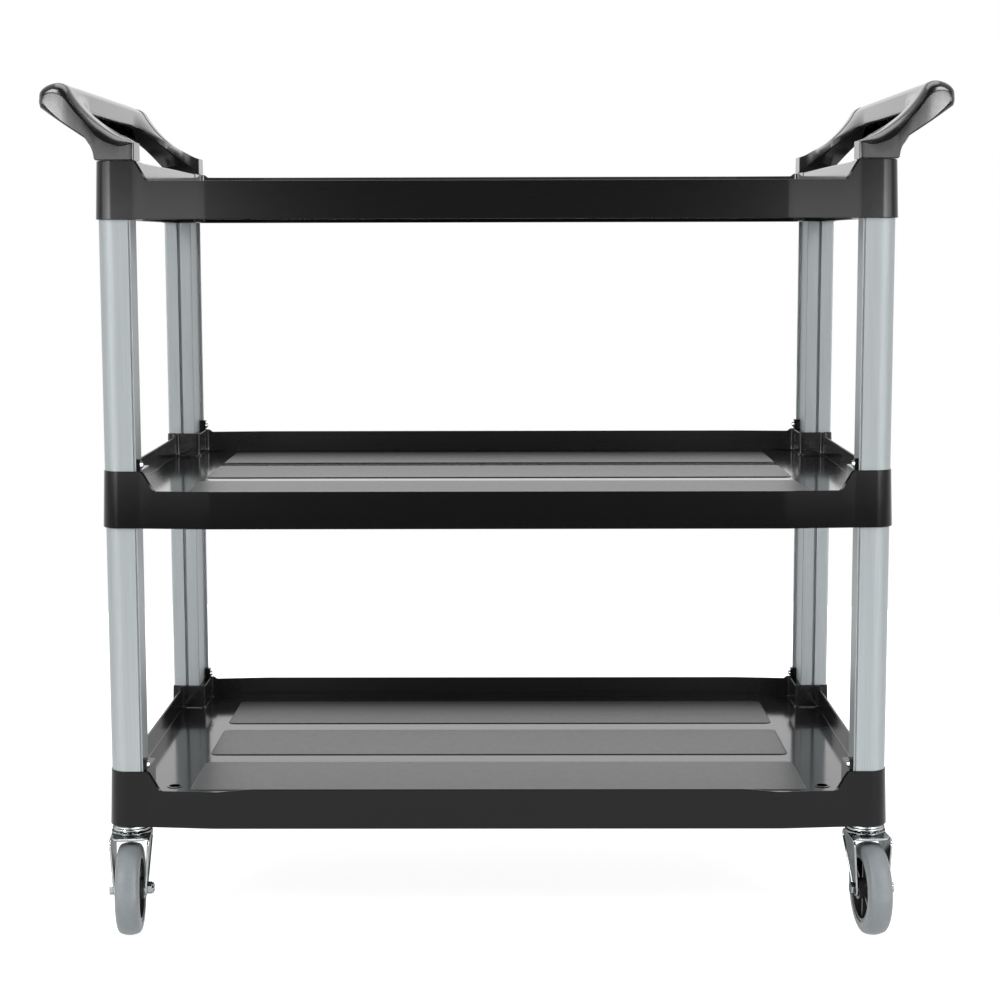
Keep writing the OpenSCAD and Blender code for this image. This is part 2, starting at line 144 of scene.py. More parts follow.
def line(a, b, normal, count=1):
    """Points from a to b with one normal: count pieces, the first point left out."""
    return [((a[0] + (b[0] - a[0]) * i / count, a[1] + (b[1] - a[1]) * i / count), normal)
            for i in range(1, count + 1)]


def arc(centre, radius, start, end, count, outward=1):
    """Points on an arc in degrees, first point left out; outward is -1 for a hollow corner."""
    points = []
    for i in range(1, count + 1):
        angle = math.radians(start + (end - start) * i / count)
        ray = (math.cos(angle), math.sin(angle))
        place = (centre[0] + radius * ray[0], centre[1] + radius * ray[1])
        points.append((place, (outward * ray[0], outward * ray[1])))
    return points


def lengths(path):
    """Share of the path's length at each of its points."""
    total = [0.0]
    for (a, _), (b, _) in zip(path, path[1:]):
        total.append(total[-1] + math.dist(a, b))
    return [t / total[-1] for t in total]


def at_share(path, shares, t):
    """Place and normal at share t of a path."""
    for i in range(len(shares) - 1):
        if t <= shares[i + 1] + 1e-9:
            span = shares[i + 1] - shares[i]
            w = 0 if span < 1e-9 else (t - shares[i]) / span
            (a, na), (b, nb) = path[i], path[i + 1]
            place = (a[0] + (b[0] - a[0]) * w, a[1] + (b[1] - a[1]) * w)
            normal = Vector((na[0] + (nb[0] - na[0]) * w, na[1] + (nb[1] - na[1]) * w))
            return place, normal.normalized()
    return path[-1][0], Vector(path[-1][1])


def matched(outer, inner):
    """Stations with a point on both paths: every point of either path gets one."""
    outer_shares, inner_shares = lengths(outer), lengths(inner)
    shares = []
    for t in sorted(outer_shares + inner_shares):
        if not shares or t - shares[-1] > 1e-3:
            shares.append(t)
    return [(at_share(outer, outer_shares, t), at_share(inner, inner_shares, t)) for t in shares]


def outward(bm):
    """Turns all the faces of a closed shape outwards."""
    bmesh.ops.recalc_face_normals(bm, faces=bm.faces)
    if bm.calc_volume(signed=True) < 0:
        bmesh.ops.reverse_faces(bm, faces=bm.faces)


def boolean(bm, cutter, operation):
    """The bmesh after a boolean with another bmesh; both are used up."""
    objects = []
    slots = [bpy.data.materials.new("scratch") for _ in range(3)]
    for shape in (bm, cutter):
        mesh = bpy.data.meshes.new("scratch")
        outward(shape)
        shape.to_mesh(mesh)
        shape.free()
        for slot in slots:
            mesh.materials.append(slot)
        scratch = bpy.data.objects.new("scratch", mesh)
        bpy.context.scene.collection.objects.link(scratch)
        objects.append(scratch)
    body, tool = objects
    modifier = body.modifiers.new("cut", "BOOLEAN")
    modifier.operation = operation
    modifier.solver = "EXACT"
    modifier.object = tool
    bpy.context.view_layer.update()
    result = bmesh.new()
    result.from_object(body, bpy.context.evaluated_depsgraph_get())
    for scratch in objects:
        mesh = scratch.data
        bpy.data.objects.remove(scratch)
        bpy.data.meshes.remove(mesh)
    for slot in slots:
        bpy.data.materials.remove(slot)
    return result


def smooth(t):
    t = max(0.0, min(1.0, t))
    return t * t * (3 - 2 * t)


# ---- Shelves ----

RIM_H = SLEEVE_H - 3.5
LIP_H = 42
FLOOR_H = 34
FLOOR_T = 3
WALL_T = 4
END_X = HALF_X - 8
FACET_X = 322
SLEEVE_IN = 4
SLEEVE_X = SECTION_W + SLEEVE_IN
SLEEVE_Y = POST_D + SLEEVE_IN
BLOCK_X = HALF_X - SLEEVE_X
BLOCK_Y = HALF_Y - SLEEVE_Y
SLEEVE_FACE = HALF_Y + SLEEVE_OUT
SIDE_FACE = HALF_X + SLEEVE_OUT
CORNER_R = 23
CORNER_REAR_R = 4
BEND_R = 2.5
FACET_R = 120
SKIRT_DRAFT = 1.6
SLEEVE_DRAFT = 2.0
EDGE_R = 0.8
FILLET_R = 2.2
SLOPE = (381, 399)
PANEL = (708, 122)
PANEL_GAP = 34
PANEL_ROWS = (-1, 0, 1)
PANEL_RISE = 1
BLEND_X = (286, 32)
DRAIN_D = 13
DRAIN_INSET = (66, 46)
SPOUT_T = 2.2
POST_SEAT = 28
POST_SEAT_GAP = 8
RIB_HALF = 1.25
RIB_FOOT = 22
RIB_PITCH_X = 118
RIB_PITCH_Y = 120
LUG = ((SECTION_W - 3.6, 3.4), (SLEEVE_X, 12.4))


def wall_path(y_skirt, y_sleeve, end_x, facet_r):
    """Front wall from the middle to the sleeve, on one of its faces."""
    tilt = math.degrees(math.atan2(y_skirt - y_sleeve, BLOCK_X - FACET_X))
    start = FACET_X - facet_r * math.tan(math.radians(tilt / 2))
    path = [((0, y_skirt), (0, 1))]
    path += line((0, y_skirt), (start, y_skirt), (0, 1), 8)
    path += arc((start, y_skirt - facet_r), facet_r, 90, 90 - tilt, 4)
    normal = path[-1][1]
    place = path[-1][0]
    slope_y = y_sleeve + (y_skirt - y_sleeve) * (BLOCK_X - SLOPE[0]) / (BLOCK_X - FACET_X)
    path += line(place, (SLOPE[0], slope_y), normal, 3)
    path += line((SLOPE[0], slope_y), (end_x, y_sleeve), normal, 10)
    return path


def outer_corner():
    """Outside of a sleeve, from the front wall round to the end wall."""
    r, rear_r = CORNER_R, CORNER_REAR_R
    path = [((BLOCK_X, SLEEVE_FACE), (0, 1))]
    path += line(path[-1][0], (SIDE_FACE - r, SLEEVE_FACE), (0, 1), 2)
    path += arc((SIDE_FACE - r, SLEEVE_FACE - r), r, 90, 0, 18)
    path += line(path[-1][0], (SIDE_FACE, BLOCK_Y + rear_r), (1, 0), 2)
    path += arc((SIDE_FACE - rear_r, BLOCK_Y + rear_r), rear_r, 0, -90, 5)
    path += line(path[-1][0], (END_X + BEND_R, BLOCK_Y), (0, -1))
    return path


def inner_corner():
    """Inside of a sleeve, from the front wall round to the end wall."""
    r, step_r = BEND_R, 3
    y_in = SLEEVE_FACE - WALL_T
    x_end = END_X - WALL_T
    path = [((BLOCK_X - r, y_in), (0, 1))]
    path += arc((BLOCK_X - r, y_in - r), r, 90, 0, 4)
    path += line(path[-1][0], (BLOCK_X, BLOCK_Y + step_r), (1, 0), 3)
    path += arc((BLOCK_X + step_r, BLOCK_Y + step_r), step_r, 180, 270, 4, -1)
    path += line(path[-1][0], (x_end - r, BLOCK_Y), (0, 1), 2)
    path += arc((x_end - r, BLOCK_Y - r), r, 90, 0, 4)
    return path


def end_path(x, start_y):
    """Face of the end wall at x, from start_y to the middle."""
    path = [((x, start_y), (1, 0))]
    path += line((x, start_y), (x, start_y - 6), (1, 0), 6)
    path += line(path[-1][0], (x, 0), (1, 0), 5)
    return path


def outer_end():
    """Outside of the end wall, with the hollow corner beside the sleeve."""
    r = BEND_R
    fillet = arc((END_X + r, BLOCK_Y - r), r, 90, 180, 4, -1)
    return [((END_X + r, BLOCK_Y), (0, -1))] + fillet + end_path(END_X, BLOCK_Y - r)[1:]


def quarter(is_front, lip_rise, end_top):
    """Stations of one quarter, from the middle of the long side to the middle of the end."""
    y_in = SKIRT_Y - WALL_T
    wall = matched(
        wall_path(SKIRT_Y, SLEEVE_FACE, BLOCK_X, FACET_R),
        wall_path(y_in, SLEEVE_FACE - WALL_T, BLOCK_X - BEND_R, FACET_R - WALL_T))
    corner = matched(outer_corner(), inner_corner())
    end = matched(outer_end(), end_path(END_X - WALL_T, BLOCK_Y - BEND_R))
    stations = []
    for outer, inner in wall[:-1]:
        x = outer[0][0]
        t = smooth((x - SLOPE[0]) / (SLOPE[1] - SLOPE[0]))
        if is_front:
            rise = lip_rise * (1 - smooth((x - BLEND_X[0]) / BLEND_X[1]))
            linear = max(0.0, min(1.0, (x - SLOPE[0] - 2) / (SLOPE[1] - SLOPE[0] - 4)))
            top = LIP_H + rise + (SLEEVE_H - LIP_H) * (0.45 * t + 0.55 * linear)
        else:
            top = RIM_H + (SLEEVE_H - RIM_H) * smooth((x - BLOCK_X + 6) / 6)
        stations.append((outer, inner, top, SKIRT_DRAFT + (SLEEVE_DRAFT - SKIRT_DRAFT) * t))
    for outer, inner in corner[:-1]:
        stations.append((outer, inner, SLEEVE_H, SLEEVE_DRAFT))
    for outer, inner in end:
        t = smooth((BLOCK_Y - outer[0][1] - 1.5) / 4)
        top = SLEEVE_H - (SLEEVE_H - end_top) * t
        stations.append((outer, inner, top, SLEEVE_DRAFT - (SLEEVE_DRAFT - SKIRT_DRAFT) * t))
    return stations


def turned(stations, sx, sy):
    """A quarter's stations mirrored into place."""
    result = []
    for (po, no), (pi, ni), top, draft in stations:
        result.append((
            Vector((sx * po[0], sy * po[1])), Vector((sx * no[0], sy * no[1])),
            Vector((sx * pi[0], sy * pi[1])), Vector((sx * ni[0], sy * ni[1])), top, draft))
    return result


def section(station):
    """The wall's section at one station, from under the floor round to the floor's edge."""
    po, no, pi, ni, top, draft = station
    r = EDGE_R
    points = [(pi, FLOOR_H - FLOOR_T), (pi, r)]
    points += [(pi + no * 0.3, 0.3), (pi + no * r, 0)]
    points += [(po - no * r, 0), (po - no * 0.3, 0.3), (po, r)]

    def face(z):
        return po - no * draft * z / SLEEVE_H

    points += [(face(top / 2), top / 2), (face(top - r), top - r)]
    for angle in (30, 60, 90):
        a = math.radians(angle)
        points.append((face(top) - no * r * (1 - math.cos(a)), top - r + r * math.sin(a)))
    for angle in (0, 30, 60, 90):
        a = math.radians(angle)
        points.append((pi + ni * r * (1 - math.sin(a)), top - r + r * math.cos(a)))
    points.append((pi, FLOOR_H + FILLET_R))
    for angle in (22.5, 45, 67.5, 90):
        a = math.radians(angle)
        points.append((pi - ni * FILLET_R * (1 - math.cos(a)), FLOOR_H + FILLET_R * (1 - math.sin(a))))
    return points


def wall_ring(lip_rise, end_top):
    """Stations right round the shelf."""
    front, rear = quarter(True, lip_rise, end_top), quarter(False, lip_rise, end_top)
    ring = turned(front, 1, -1)
    ring += turned(rear, 1, 1)[::-1][1:]
    ring += turned(rear, -1, 1)[1:]
    ring += turned(front, -1, -1)[::-1][1:-1]
    return ring


def rounded_rect(length, width, r, per_corner=5):
    """Outline of a rectangle with rounded corners, centred on zero."""
    points = []
    for cx, cy, start in ((1, 1, 0), (-1, 1, 90), (-1, -1, 180), (1, -1, 270)):
        centre = (cx * (length / 2 - r), cy * (width / 2 - r))
        for i in range(per_corner + 1):
            a = math.radians(start + 90 * i / per_corner)
            points.append((centre[0] + r * math.cos(a), centre[1] + r * math.sin(a)))
    return points


def add_panel(bm, centre_y):
    """One textured panel: a low plateau with a soft edge."""
    rings = []
    for inset, z in ((0, -1), (0, 0), (0.35, 0.55), (0.9, 0.9), (1.8, PANEL_RISE)):
        outline = rounded_rect(PANEL[0] - 2 * inset, PANEL[1] - 2 * inset, 8 - inset)
        rings.append([(x, y + centre_y, FLOOR_H + z) for x, y in outline])
    loft(bm, rings)


def add_box(bm, low_corner, high_corner):
    """A rib, or the hollow of a cell, to be joined to a moulding or cut from it."""
    (x0, y0, z0), (x1, y1, z1) = low_corner, high_corner
    loft(bm, [[(x0, y0, z), (x1, y0, z), (x1, y1, z), (x0, y1, z)] for z in (z0, z1)])


def post_outline(gap):
    """Outline of a post in its corner's own axes, x and y running inwards."""
    r = POST_R
    box_w = SECTION_W - FLANGE_W
    points = [(r - (r + gap) * math.sin(math.radians(a)), r - (r + gap) * math.cos(math.radians(a)))
              for a in range(90, -1, -10)]
    points += [(SECTION_W + gap, -gap), (SECTION_W + gap, FLANGE_T + gap), (box_w + gap, FLANGE_T + gap)]
    points += [(box_w + gap, POST_D + gap), (-gap, POST_D + gap)]
    return points


def at_corner(points, corner):
    """Moves an outline from a corner's own axes into place."""
    sx, sy = CORNERS[corner]
    return [(sx * (HALF_X - x), sy * (HALF_Y - y)) for x, y in points]


def add_ribs(bm):
    """The ribs under the floor, first those across the shelf and then those along it."""
    ribs = bmesh.new()
    for i in range(-3, 4):
        x = i * RIB_PITCH_X
        y = SKIRT_Y - 2 if abs(x) < FACET_X else SLEEVE_FACE + 2
        add_box(ribs, (x - RIB_HALF, -y, RIB_FOOT), (x + RIB_HALF, y, FLOOR_H - 1))
    bm = boolean(bm, ribs, "UNION")
    ribs = bmesh.new()
    for i in (-1, 0, 1):
        y = i * RIB_PITCH_Y
        add_box(ribs, (-END_X + 2, y - RIB_HALF, RIB_FOOT), (END_X - 2, y + RIB_HALF, FLOOR_H - 1))
    return boolean(bm, ribs, "UNION")


def add_ledges(bm):
    """Ledges that join the sleeves at the ends of the top tray, hollow from below."""
    x0, x1 = BLOCK_X + 0.8, END_X - WALL_T + 1
    foot, top = FLOOR_H - FLOOR_T / 2, SLEEVE_H - 0.15
    half = BLOCK_Y + 1
    edge_r, wall = 1.6, 1.5
    corner = [(x0 + edge_r * (1 - math.cos(a)), top - edge_r * (1 - math.sin(a)))
              for a in (math.radians(d) for d in (0, 22.5, 45, 67.5, 90))]
    profile = [(x0, foot)] + corner + [(x1, top), (x1, foot)]
    ledges, cells = bmesh.new(), bmesh.new()
    cell_count = 4
    step = 2 * (half - WALL_T) / cell_count
    for sx in (-1, 1):
        loft(ledges, [[(sx * x, y, z) for x, z in profile] for y in (-half, half)])
        for i in range(cell_count):
            y = i * step - half + WALL_T
            xs = sorted((sx * (x0 + WALL_T), sx * (END_X - WALL_T - 1)))
            add_box(cells, (xs[0], y + wall, RIB_FOOT - 1), (xs[1], y + step - wall, SLEEVE_H - WALL_T))
    return boolean(boolean(bm, ledges, "UNION"), cells, "DIFFERENCE")


def paint_shelf(bm):
    """Glossy inside the tray, grained on the panels, satin elsewhere."""
    plastic, gloss, grain = range(3)
    bm.normal_update()
    for face in bm.faces:
        place = face.calc_center_median()
        x, y = abs(place.x), abs(place.y)
        slant = max(0.0, min(1.0, (x - FACET_X) / (BLOCK_X - FACET_X)))
        wall_y = SKIRT_Y + (SLEEVE_FACE - SKIRT_Y) * slant - WALL_T
        between_walls = x < BLOCK_X + 1.5 and y < wall_y + 0.4
        between_ends = x < END_X - WALL_T + 0.4 and y < BLOCK_Y + 0.4
        row = min(abs(place.y - k * (PANEL[1] + PANEL_GAP)) for k in PANEL_ROWS)
        on_panel = abs(place.x) < PANEL[0] / 2 + 0.5 and row < PANEL[1] / 2 + 0.5
        face.material_index = plastic
        if (between_walls or between_ends) and FLOOR_H - 0.5 < place.z < SLEEVE_H - 0.4:
            is_grain = on_panel and FLOOR_H + 0.1 < place.z < FLOOR_H + 1.1
            face.material_index = grain if is_grain else gloss


def circle(x, y, r, count=40):
    """Outline of a circle, anticlockwise."""
    return [(x + r * math.cos(2 * math.pi * i / count), y + r * math.sin(2 * math.pi * i / count))
            for i in range(count)]


def shelf(level, post_above, post_below, lip_rise, materials):
    """One tray: walls and sleeves, floor, panels, lugs, ribs, drains, ledges and post sockets."""
    is_top = not post_above
    sections = [section(s) for s in wall_ring(lip_rise, SLEEVE_H if is_top else RIM_H)]
    bm = bmesh.new()
    rings = [[(s[k][0].x, s[k][0].y, s[k][1]) for s in sections] for k in range(len(sections[0]))]
    loops = loft(bm, rings, False)
    bm.faces.new(loops[0])
    bm.faces.new(loops[-1])
    extras = bmesh.new()
    for row in PANEL_ROWS:
        add_panel(extras, row * (PANEL[1] + PANEL_GAP))
    if post_above:
        (x0, y0), (x1, y1) = LUG
        for corner in CORNERS:
            lug = at_corner([(x0, y0), (x1, y0), (x1, y1), (x0, y1)], corner)
            loft(extras, [[(x, y, z) for x, y in lug] for z in (SLEEVE_H - 3, SLEEVE_H + 13)])
    bm = add_ribs(boolean(bm, extras, "UNION"))
    drains = [(sx * (HALF_X - DRAIN_INSET[0]), DRAIN_INSET[1] - HALF_Y) for sx in (-1, 1)]
    spouts = bmesh.new()
    for x, y in drains:
        ring = circle(x, y, DRAIN_D / 2 + SPOUT_T)
        loft(spouts, [[(*p, z) for p in ring] for z in (FLOOR_H - 12, FLOOR_H + 0.7)])
    bm = boolean(bm, spouts, "UNION")
    if is_top:
        bm = add_ledges(bm)
    cutters = bmesh.new()
    for corner in CORNERS:
        outline = at_corner(post_outline(0.15), corner)
        if post_above:
            heights = (POST_SEAT + POST_SEAT_GAP, SLEEVE_H + 20)
            loft(cutters, [[(*p, z) for p in outline] for z in heights])
        if post_below:
            loft(cutters, [[(*p, z) for p in outline] for z in (-5, POST_SEAT)])
    for x, y in drains:
        hole = circle(x, y, DRAIN_D / 2)
        loft(cutters, [[(*p, z) for p in hole] for z in (FLOOR_H - 14, FLOOR_H + 2)])
    bm = boolean(bm, cutters, "DIFFERENCE")
    paint_shelf(bm)
    bmesh.ops.translate(bm, vec=(0, 0, SHELF_Z[level]), verts=bm.verts)
    name = level + "_shelf"
    return new_piece(name + "_moulding", bm, "frame", [name], materials)


# ---- Handles ----

REACH = high("handle_right", 0) - HALF_X + 1.5
RISE = 86
ARM_D = 36
BAR_W = 36
FOOT = (SLEEVE_X + 1.5, 20)
FOOT_GAP = 0.4
BAR_INNER_LOW = 59
BAR_SKIN_LOW = 44.5
BAR_OUTER_LOW = 57.5
BLEND_Y = 80
HOLLOW_Y = 16
BAR_RIBS = 5
BAR_RIB_HALF = 1.2


def bezier(a, b, c, d, steps):
    """Points on a cubic curve, first point left out."""
    points = []
    for i in range(1, steps + 1):
        t = i / steps
        k = (1 - t) ** 3, 3 * t * (1 - t) ** 2, 3 * t * t * (1 - t), t ** 3
        points.append(tuple(sum(w * p[axis] for w, p in zip(k, (a, b, c, d))) for axis in (0, 1)))
    return points


def plain(points):
    """A path whose normals are not needed."""
    return [(p, (0, 0)) for p in points]


def arm_chains():
    """Upper and lower edge of an arm's side profile, both from the foot out to the grip."""
    inner = BAR_W - REACH
    top = [FOOT] + bezier(FOOT, (FOOT[0] - 30, FOOT[1] + 8), (-14, RISE - 32), (inner, RISE - 8), 16)
    top += bezier(top[-1], (inner - 5, RISE + 1), (inner - 16, RISE + 1.2), (9 - REACH, RISE - 5), 10)
    tip = (4 - REACH, RISE - 29)
    outside = bezier(top[-1], (1 - REACH, RISE - 10), (-REACH - 0.8, RISE - 19), tip, 12)
    top += outside[:6]
    low_chain = [(FOOT[0], FOOT_GAP), (FOOT[0] / 2, FOOT_GAP), (1.5, FOOT_GAP), (0, FOOT_GAP + 1.5)]
    low_chain += bezier((-0.2, 4), (-1, 10), (-4, 18), (-9, 24), 5)
    low_chain += [(-9 + (13 - REACH) * t, 24 + (RISE - 53) * t) for t in (0.25, 0.5, 0.75)]
    low_chain += bezier(tip, tip, outside[-2], outside[-4], 4)
    return top, low_chain


def bar_point(pair, inner_share, low_share):
    """Where a pair's points go in the crossbar: its inner face, crest and slanted underside."""
    upper, lower = pair
    inner = BAR_W - REACH
    if inner_share is not None:
        t = inner_share
        low_z = BAR_INNER_LOW
        edge = [(inner - 2, low_z), (inner - 0.6, low_z + 0.5), (inner, low_z + 2)]
        upper = edge[0] if t < 0.01 else edge[1] if t < 0.08 else (
            inner, BAR_INNER_LOW + 2 + (RISE - 10 - BAR_INNER_LOW) * (t - 0.08) / 0.92)
    if low_share is not None:
        start, skin = (inner - 2.5, BAR_INNER_LOW), (inner - 10, BAR_SKIN_LOW)
        a, b, t = start, skin, low_share / 0.4
        if low_share >= 0.4:
            a, b, t = skin, (4.5 - REACH, BAR_OUTER_LOW), (low_share - 0.4) / 0.6
        lower = (a[0] + (b[0] - a[0]) * t, a[1] + (b[1] - a[1]) * t)
    return upper, lower


def handle_rings():
    """Rings from the outer face of the front arm to the middle of the crossbar."""
    top, low_chain = arm_chains()
    pairs = [(a[0], b[0]) for a, b in matched(plain(top), plain(low_chain))]
    count = len(pairs)
    top_len = [0.0]
    low_len = [0.0]
    for (a, b), (c, d) in zip(pairs, pairs[1:]):
        top_len.append(top_len[-1] + math.dist(a, c))
        low_len.append(low_len[-1] + math.dist(b, d))
    inner_end = max(i for i in range(count) if pairs[i][0][0] > BAR_W - REACH - 0.5)
    low_end = max(i for i in range(count) if pairs[i][1][1] < RISE - 29.5)
    bar = []
    for i, pair in enumerate(pairs):
        inner_share = top_len[i] / top_len[inner_end] if i <= inner_end else None
        low_share = low_len[i] / low_len[low_end] if i <= low_end else None
        bar.append(bar_point(pair, inner_share, low_share))
    bar_loop = [p for p, _ in bar] + [q for _, q in reversed(bar)]
    middle = [(Vector(p) + Vector(q)) / 2 for p, q in pairs]
    run = [0.0]
    for p, q in zip(middle, middle[1:]):
        run.append(run[-1] + (q - p).length)

    def inset(depth, end_depth):
        """The arm's loop drawn inwards by a depth per pair, and at its two ends."""
        upper, lower = [], []
        for i, (p, q) in enumerate(pairs):
            p, q = Vector(p), Vector(q)
            across = q - p
            above, below = (min(d, across.length * 0.42) for d in depth(i))
            across.normalize()
            along = Vector((0, 0))
            for end, step in ((0, 1), (count - 1, -1)):
                reach = end_depth * 2 if end else end_depth * 1.2
                near = max(0.0, 1 - abs(run[i] - run[end]) / max(reach, 0.01))
                heading = (middle[end + step * 2] - middle[end]).normalized()
                along += heading * near * near * end_depth * (1 if end else 0.4)
            upper.append(p + across * above + along)
            lower.append(q - across * below + along)
        return upper + lower[::-1]

    def depths(i):
        """Radius of the arm's rounding at its upper and lower edge."""
        tip = smooth((run[i] - run[-1] + 34) / 34)
        above = 3 + 12 * smooth(top_len[i] / 26) - 6 * tip
        return above, 1.2 + 1.0 * smooth((low_len[i] - 40) / 20) + 4.8 * tip

    def bow(x):
        """How far the arm's face draws back towards its outer end."""
        return 8 * max(0.0, (-x - 12) / 50) ** 2

    rings = []
    for degrees in (0, 15, 30, 45, 60, 75, 90):
        a = math.radians(degrees)
        k = 1 - math.sin(a)
        loop = inset(lambda i: [d * k for d in depths(i)], 7 * k)
        drop = 1 - math.cos(a)
        above = [depths(i)[0] for i in range(count)]
        below = [depths(i)[1] for i in range(count)]
        rings.append([(p.x, r * drop + bow(p.x), p.y) for p, r in zip(loop, above + below[::-1])])
    rings.append([(p.x, ARM_D * 0.6, p.y) for p in inset(lambda i: (0, 0), 0)])
    edge_r = 1.4
    for degrees in (90, 60, 30, 0):
        a = math.radians(degrees)
        k = edge_r * (1 - math.sin(a))
        loop = inset(lambda i: (k, k), k)
        rings.append([(p.x, ARM_D - edge_r * (1 - math.cos(a)), p.y) for p in loop])
    start = rings[-1]
    for degrees in (6, 12, 18, 25, 32, 40, 50, 60, 70, 80, 90):
        a = math.radians(degrees)
        w = math.sin(a)
        y = ARM_D + BLEND_Y * (1 - math.cos(a))
        rings.append([(s[0] + (b[0] - s[0]) * w, y, s[2] + (b[1] - s[2]) * w)
                      for s, b in zip(start, bar_loop)])
    rings.append([(b[0], HALF_Y, b[1]) for b in bar_loop])
    return rings, count


def handle(side):
    """One handle: two arms and a crossbar that is hollow underneath, with ribs."""
    sx = SIDES[side]
    rings, count = handle_rings()
    rings += [[(x, 2 * HALF_Y - y, z) for x, y, z in ring] for ring in rings[-2::-1]]
    bm = bmesh.new()
    placed = [[(sx * (HALF_X - x), y - HALF_Y, z + CAP_Z) for x, y, z in ring] for ring in rings]
    loops = loft(bm, placed, False)
    for loop in (loops[0], loops[-1]):
        for i in range(count - 1):
            bm.faces.new([loop[i], loop[i + 1], loop[-2 - i], loop[-1 - i]])
    half = HALF_Y - ARM_D - HOLLOW_Y
    roof = RISE - 10
    combs = []
    for depth, foot, rib_foot in ((7.5, 61, 64), (BAR_W - 3.5, 42, 52)):
        comb = [(half, foot), (half, roof)]
        for i in range(BAR_RIBS):
            y = half - (i + 1) * 2 * half / (BAR_RIBS + 1)
            a, b = y + BAR_RIB_HALF, y - BAR_RIB_HALF
            comb += [(a, roof), (a, rib_foot), (b, rib_foot), (b, roof)]
        comb += [(-half, roof), (-half, foot)]
        combs.append([(sx * (HALF_X + REACH - depth), y, CAP_Z + z) for y, z in comb])
    cutter = bmesh.new()
    loft(cutter, combs)
    bm = boolean(bm, cutter, "DIFFERENCE")
    name = "handle_" + side
    materials = [MATERIALS["handle_plastic"]]
    return new_piece(name + "_moulding", bm, "frame", [name], materials)


# ---- Posts ----

GROOVE = (16.4, 3.6, 4.5)


def rounded(points, radii):
    """A polygon's outline with its corners rounded, each by its own radius."""
    result = []
    size = len(points)
    for i, (point, r) in enumerate(zip(points, radii)):
        p = Vector(point)
        if r <= 0:
            result.append((p.x, p.y))
            continue
        to_a = (Vector(points[i - 1]) - p).normalized()
        to_b = (Vector(points[(i + 1) % size]) - p).normalized()
        half_angle = to_a.angle(to_b) / 2
        reach = r / math.tan(half_angle)
        centre = p + (to_a + to_b).normalized() * (r / math.sin(half_angle))
        start, end = p + to_a * reach, p + to_b * reach
        a0 = math.atan2(start.y - centre.y, start.x - centre.x)
        a1 = math.atan2(end.y - centre.y, end.x - centre.x)
        turn = (a1 - a0 + math.pi) % (2 * math.pi) - math.pi
        count = 16 if r > 4 else 4
        for k in range(count + 1):
            a = a0 + turn * k / count
            result.append((centre.x + r * math.cos(a), centre.y + r * math.sin(a)))
    return result


def post(tier, corner, z0, z1):
    """One post: a box with a rounded outer corner, a groove inside and a seam beside its flange; its large inner
    side wall is painted dark plastic as painted shade.
    """
    w, d = SECTION_W, POST_D
    box = w - FLANGE_W
    gx, gw, gd = GROOVE
    points = [(0, 0), (box + 1.2, 0), (box + 1.5, 1.5), (box + 2.5, 1.5), (box + 2.8, 0), (w, 0),
              (w, FLANGE_T), (box, FLANGE_T), (box, d), (gx + gw, d), (gx + gw, d - gd), (gx, d - gd),
              (gx, d), (0, d)]
    radii = [POST_R, 0.4, 0.2, 0.2, 0.5, 0.9, 0.9, 0.8, 1.6, 0.8, 0.6, 0.6, 0.8, 2.2]
    outline = at_corner(rounded(points, radii), corner)
    bm = bmesh.new()
    loft(bm, [[(x, y, z) for x, y in outline] for z in (z0, z1)])
    # The large inner side wall gets the second slot, a dark plastic: painted shade standing for the shadow on that
    # side of the post, not the post's own colour.
    wall_x = CORNERS[corner][0] * (HALF_X - box)
    for face in bm.faces:
        centre = face.calc_center_median()
        if abs(centre.x - wall_x) < 0.2 and abs(face.normal.x) > 0.99 and face.calc_area() > 1000:
            face.material_index = 1
    name = f"{tier}_post_{corner}"
    materials = [MATERIALS["post_aluminium"], MATERIALS["post_side_painted_shade"]]
    return new_piece(name + "_extrusion", bm, "frame", [name], materials)


# ---- Small parts ----

BODIES = {node: body for body, nodes in frame["record"]["behaviour"]["bodies"].items() for node in nodes}


def soften(node, width, from_deg=28):
    """A copy of a CAD part with its flat faces joined up and its edges rounded."""
    bm = bmesh.new()
    bm.from_mesh(frame["nodes"][node].data)
    bmesh.ops.scale(bm, vec=(1 / MM, 1 / MM, 1 / MM), verts=bm.verts)
    bmesh.ops.remove_doubles(bm, verts=bm.verts, dist=0.002)
    bmesh.ops.dissolve_limit(bm, angle_limit=math.radians(0.5), verts=bm.verts, edges=bm.edges)
    limit = math.radians(from_deg)
    edges = [e for e in bm.edges if len(e.link_faces) == 2 and e.calc_face_angle(0) > limit]
    bmesh.ops.bevel(bm, geom=edges, offset=width, segments=2, profile=0.5, affect="EDGES",
                    clamp_overlap=True)
    slot = SLOTS[node]
    return new_piece(node + "_finished", bm, BODIES.get(node, "frame"), [node], [MATERIALS[slot]])


def hull(points):
    """Convex outline of points in a plane, anticlockwise."""
    points = sorted(set(points))

    def half(chain):
        kept = []
        for p in chain:
            while len(kept) > 1 and ((kept[-1][0] - kept[-2][0]) * (p[1] - kept[-2][1])
                                     - (kept[-1][1] - kept[-2][1]) * (p[0] - kept[-2][0])) <= 0:
                kept.pop()
            kept.append(p)
        return kept[:-1]

    return half(points) + half(points[::-1])


def shrunk(outline, depth):
    """An anticlockwise convex outline drawn inwards along its corner normals."""
    result = []
    for i, p in enumerate(outline):
        a, b = Vector(outline[i - 1]), Vector(outline[(i + 1) % len(outline)])
        along = (b - a).normalized()
        result.append((p[0] - along.y * depth, p[1] + along.x * depth))
    return result


def lathe(bm, profile, count=96):
    """Turns a closed (radius, height) outline about the vertical axis."""
    rings = []
    for i in range(count):
        a = 2 * math.pi * i / count
        rings.append([bm.verts.new((r * math.cos(a), r * math.sin(a), z)) for r, z in profile])
    for i, ring in enumerate(rings):
        after = rings[(i + 1) % count]
        for k in range(len(profile)):
            n = (k + 1) % len(profile)
            bm.faces.new([ring[k], after[k], after[n], ring[n]])


